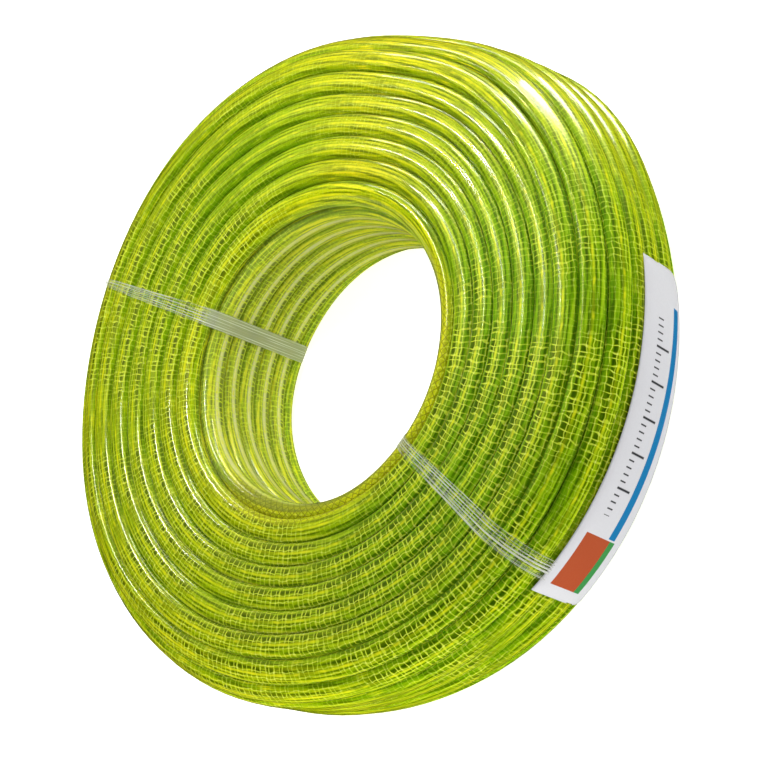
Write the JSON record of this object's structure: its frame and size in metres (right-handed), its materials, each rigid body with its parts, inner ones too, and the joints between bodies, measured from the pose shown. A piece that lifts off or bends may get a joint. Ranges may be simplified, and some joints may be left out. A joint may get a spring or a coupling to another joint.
{
  "type": "water level hose",
  "caption": "Clear net-reinforced hose wound into a thick ring coil, tied with film straps and carrying a blank paper label; filled with water it carries a level across a building site.",
  "frame": {"origin": "centre of the coil, on the floor that its back face lies on", "axes": "+Z along the coil's axis, from the back face up to the front face; -Y towards the label"},
  "size_m": [0.3753, 0.3774, 0.0841],
  "materials": {
    "hose": "clear yellow-green soft PVC with a pale yarn net inside its wall",
    "strap_film": "thin milky-clear tying film, drawn into fine lines",
    "label_paper": "white coated paper with plain colour fields"
  },
  "bodies": {
    "root": {"hose_winding": "hose", "inner_turns": "hose", "label_strap": "strap_film", "far_strap": "strap_film", "paper_label": "label_paper"}
  },
  "joints": []
}
